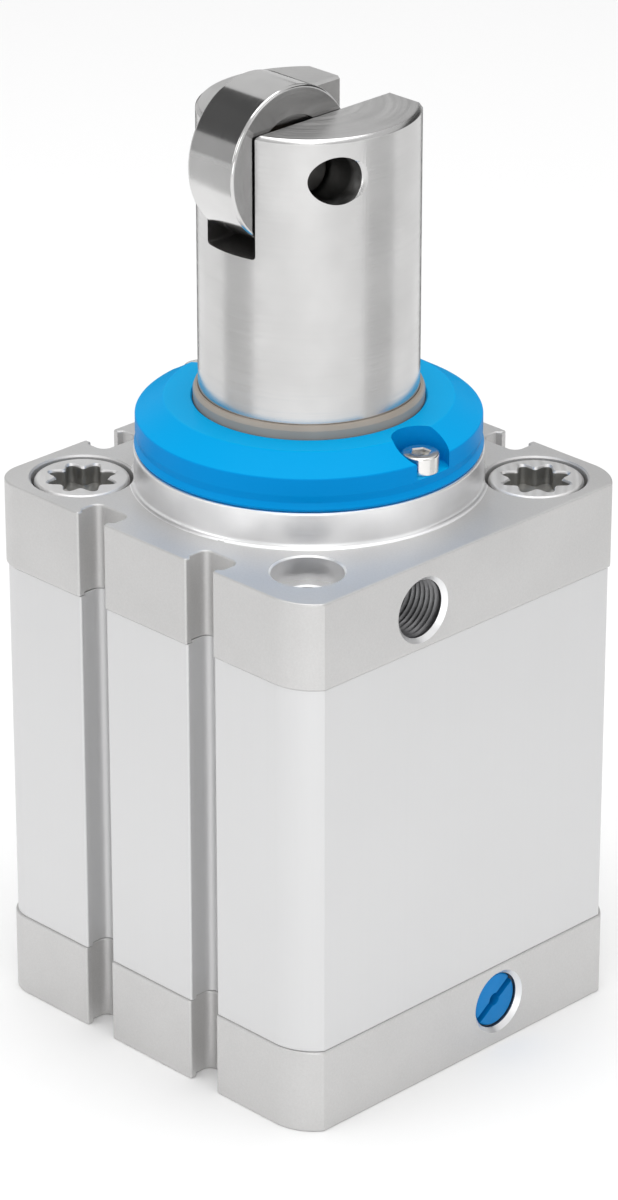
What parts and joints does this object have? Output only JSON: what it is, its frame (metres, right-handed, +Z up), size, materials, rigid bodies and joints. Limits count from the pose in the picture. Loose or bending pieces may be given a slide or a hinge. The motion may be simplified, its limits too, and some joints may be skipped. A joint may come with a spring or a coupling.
{
  "type": "pneumatic stopper cylinder",
  "caption": "Spring-extended pneumatic stopper cylinder: square aluminium body with sensor slots and side ports, blue locating ring, and a forked steel rod that carries a roller.",
  "frame": {"origin": "centre of the bottom face of the end cap", "axes": "+Z up along the piston rod, +X out of the face with the two air ports, the roller stands out of the rod towards -Y"},
  "size_m": [0.0654, 0.0654, 0.1467],
  "materials": {
    "barrel": "clear anodised extrusion, satin",
    "caps": "fine blasted and anodised",
    "rod_steel": "ground stainless steel",
    "roller_steel": "turned and polished hardened steel",
    "plated_steel": "bright nickel-plated fasteners",
    "ring_polymer": "satin bright blue engineering plastic",
    "vent_polymer": "satin deep blue plastic",
    "wiper_elastomer": "grey polyurethane",
    "seal_rubber": "black nitrile rubber",
    "bearing_bronze": "sintered bronze",
    "guide_polymer": "natural white bearing plastic",
    "spring_steel": "drawn spring steel",
    "magnet": "plastic-bonded ferrite"
  },
  "bodies": {
    "housing": {"barrel_profile": "barrel", "bearing_cap": "caps", "end_cap": "caps", "bearing_cap_screw_1": "plated_steel", "bearing_cap_screw_2": "plated_steel", "end_cap_screw_1": "plated_steel", "end_cap_screw_2": "plated_steel", "rod_bushing": "bearing_bronze", "rod_seal": "seal_rubber", "seal_retaining_washer": "plated_steel", "bearing_cap_o_ring": "seal_rubber", "end_cap_o_ring": "seal_rubber", "front_bumper": "seal_rubber", "rear_bumper": "seal_rubber", "vent_plug": "vent_polymer", "vent_filter": "bearing_bronze", "return_spring": "spring_steel"},
    "locating_ring": {"locating_ring": "ring_polymer", "ring_lock_screw_1": "plated_steel", "ring_lock_screw_2": "plated_steel", "rod_wiper": "wiper_elastomer"},
    "piston_rod": {"piston_rod": "rod_steel", "rod_o_ring": "seal_rubber", "piston": "caps", "piston_seal_front": "seal_rubber", "piston_seal_rear": "seal_rubber", "piston_magnet": "magnet", "piston_wear_ring": "guide_polymer", "piston_washer": "plated_steel", "piston_screw": "plated_steel", "roller_axle": "plated_steel"},
    "roller": {"roller": "roller_steel", "roller_bush": "bearing_bronze"}
  },
  "joints": [
    {"name": "ring_turn", "type": "hinge", "parent": "housing", "child": "locating_ring", "pos_m": [0, 0, 0.0894], "axis": [0, 0, 1], "range_deg": [-180, 180]},
    {"name": "rod_stroke", "type": "slide", "parent": "locating_ring", "child": "piston_rod", "axis": [0, 0, 1], "range_m": [-0.025, 0], "stiffness_N_per_m": 2000, "springref_m": 0.02, "deforming": ["return_spring"]},
    {"name": "roller_spin", "type": "hinge", "parent": "piston_rod", "child": "roller", "pos_m": [0, -0.0079, 0.1352], "axis": [1, 0, 0], "continuous": true}
  ]
}
